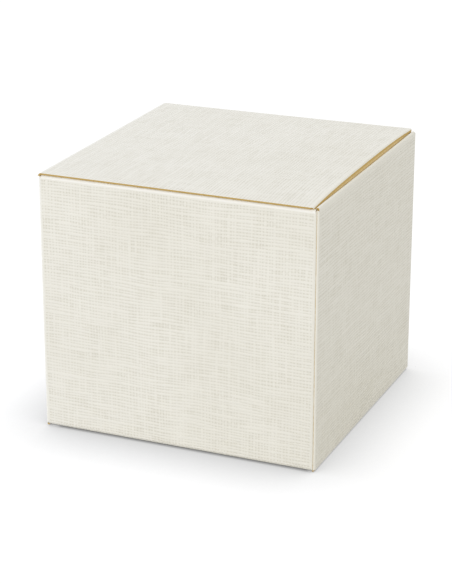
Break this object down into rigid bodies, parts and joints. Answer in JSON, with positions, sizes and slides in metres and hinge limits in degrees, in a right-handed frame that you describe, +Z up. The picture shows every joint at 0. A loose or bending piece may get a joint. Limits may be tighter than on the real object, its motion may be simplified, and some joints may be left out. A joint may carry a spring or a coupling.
{
  "type": "folding carton",
  "caption": "Linen-embossed paperboard gift carton with tuck ends: hinged lid and bottom panel, tuck flaps, dust flaps, folded rims and a glued seam.",
  "frame": {"origin": "centre of the face that the closed box rests on", "axes": "+Z up, the front wall faces -Y, the right wall, which takes the lid's tuck flap, faces +X"},
  "size_m": [0.1, 0.1, 0.092],
  "materials": {
    "linen_board": "ivory paper face embossed with a fine linen weave, matt",
    "crease_board": "ivory paper face pressed smooth along a crease, matt",
    "kraft_board": "bare golden brown kraft board, matt"
  },
  "bodies": {
    "carton": {"front_wall": "linen_board", "back_wall": "linen_board", "right_wall": "linen_board", "left_wall": "linen_board", "corner_crease_front_right": "crease_board", "corner_crease_back_right": "crease_board", "corner_crease_front_left": "crease_board", "seam_crease": "crease_board", "glue_tab": "kraft_board", "top_rim": "kraft_board", "top_rim_crease": "crease_board", "bottom_rim": "kraft_board", "bottom_rim_crease": "crease_board", "lid_crease": "crease_board", "top_dust_crease_front": "crease_board", "top_dust_crease_back": "crease_board", "bottom_crease": "crease_board", "bottom_dust_crease_front": "crease_board", "bottom_dust_crease_back": "crease_board"},
    "lid": {"lid_panel": "linen_board", "lid_tuck_crease": "crease_board"},
    "lid_tuck": {"lid_tuck_flap": "kraft_board"},
    "top_dust_front": {"top_dust_flap_front": "linen_board"},
    "top_dust_back": {"top_dust_flap_back": "linen_board"},
    "bottom": {"bottom_panel": "linen_board", "bottom_tuck_crease": "crease_board"},
    "bottom_tuck": {"bottom_tuck_flap": "kraft_board"},
    "bottom_dust_front": {"bottom_dust_flap_front": "linen_board"},
    "bottom_dust_back": {"bottom_dust_flap_back": "linen_board"}
  },
  "joints": [
    {"name": "lid_hinge", "type": "hinge", "parent": "carton", "child": "lid", "pos_m": [-0.0498, 0, 0.0918], "axis": [0, -1, 0], "range_deg": [0, 225], "deforming": ["lid_crease"]},
    {"name": "lid_tuck_hinge", "type": "hinge", "parent": "lid", "child": "lid_tuck", "pos_m": [0.0482, 0, 0.0918], "axis": [0, -1, 0], "range_deg": [0, 70], "deforming": ["lid_tuck_crease"]},
    {"name": "top_dust_front_hinge", "type": "hinge", "parent": "carton", "child": "top_dust_front", "pos_m": [0, -0.0498, 0.0911], "axis": [1, 0, 0], "range_deg": [0, 90], "deforming": ["top_dust_crease_front"]},
    {"name": "top_dust_back_hinge", "type": "hinge", "parent": "carton", "child": "top_dust_back", "pos_m": [0, 0.0498, 0.0911], "axis": [-1, 0, 0], "range_deg": [0, 90], "deforming": ["top_dust_crease_back"]},
    {"name": "bottom_hinge", "type": "hinge", "parent": "carton", "child": "bottom", "pos_m": [0.0498, 0, 0.0002], "axis": [0, -1, 0], "range_deg": [0, 225], "deforming": ["bottom_crease"]},
    {"name": "bottom_tuck_hinge", "type": "hinge", "parent": "bottom", "child": "bottom_tuck", "pos_m": [-0.0482, 0, 0.0002], "axis": [0, -1, 0], "range_deg": [0, 70], "deforming": ["bottom_tuck_crease"]},
    {"name": "bottom_dust_front_hinge", "type": "hinge", "parent": "carton", "child": "bottom_dust_front", "pos_m": [0, -0.0498, 0.0009], "axis": [-1, 0, 0], "range_deg": [0, 90], "deforming": ["bottom_dust_crease_front"]},
    {"name": "bottom_dust_back_hinge", "type": "hinge", "parent": "carton", "child": "bottom_dust_back", "pos_m": [0, 0.0498, 0.0009], "axis": [1, 0, 0], "range_deg": [0, 90], "deforming": ["bottom_dust_crease_back"]}
  ],
  "couplings": [
    {"joint": "lid_tuck_hinge", "follows": "lid_hinge", "ratio": 0.3},
    {"joint": "top_dust_front_hinge", "follows": "lid_hinge", "ratio": 0.4},
    {"joint": "top_dust_back_hinge", "follows": "lid_hinge", "ratio": 0.4},
    {"joint": "bottom_tuck_hinge", "follows": "bottom_hinge", "ratio": 0.3},
    {"joint": "bottom_dust_front_hinge", "follows": "bottom_hinge", "ratio": 0.4},
    {"joint": "bottom_dust_back_hinge", "follows": "bottom_hinge", "ratio": 0.4}
  ]
}
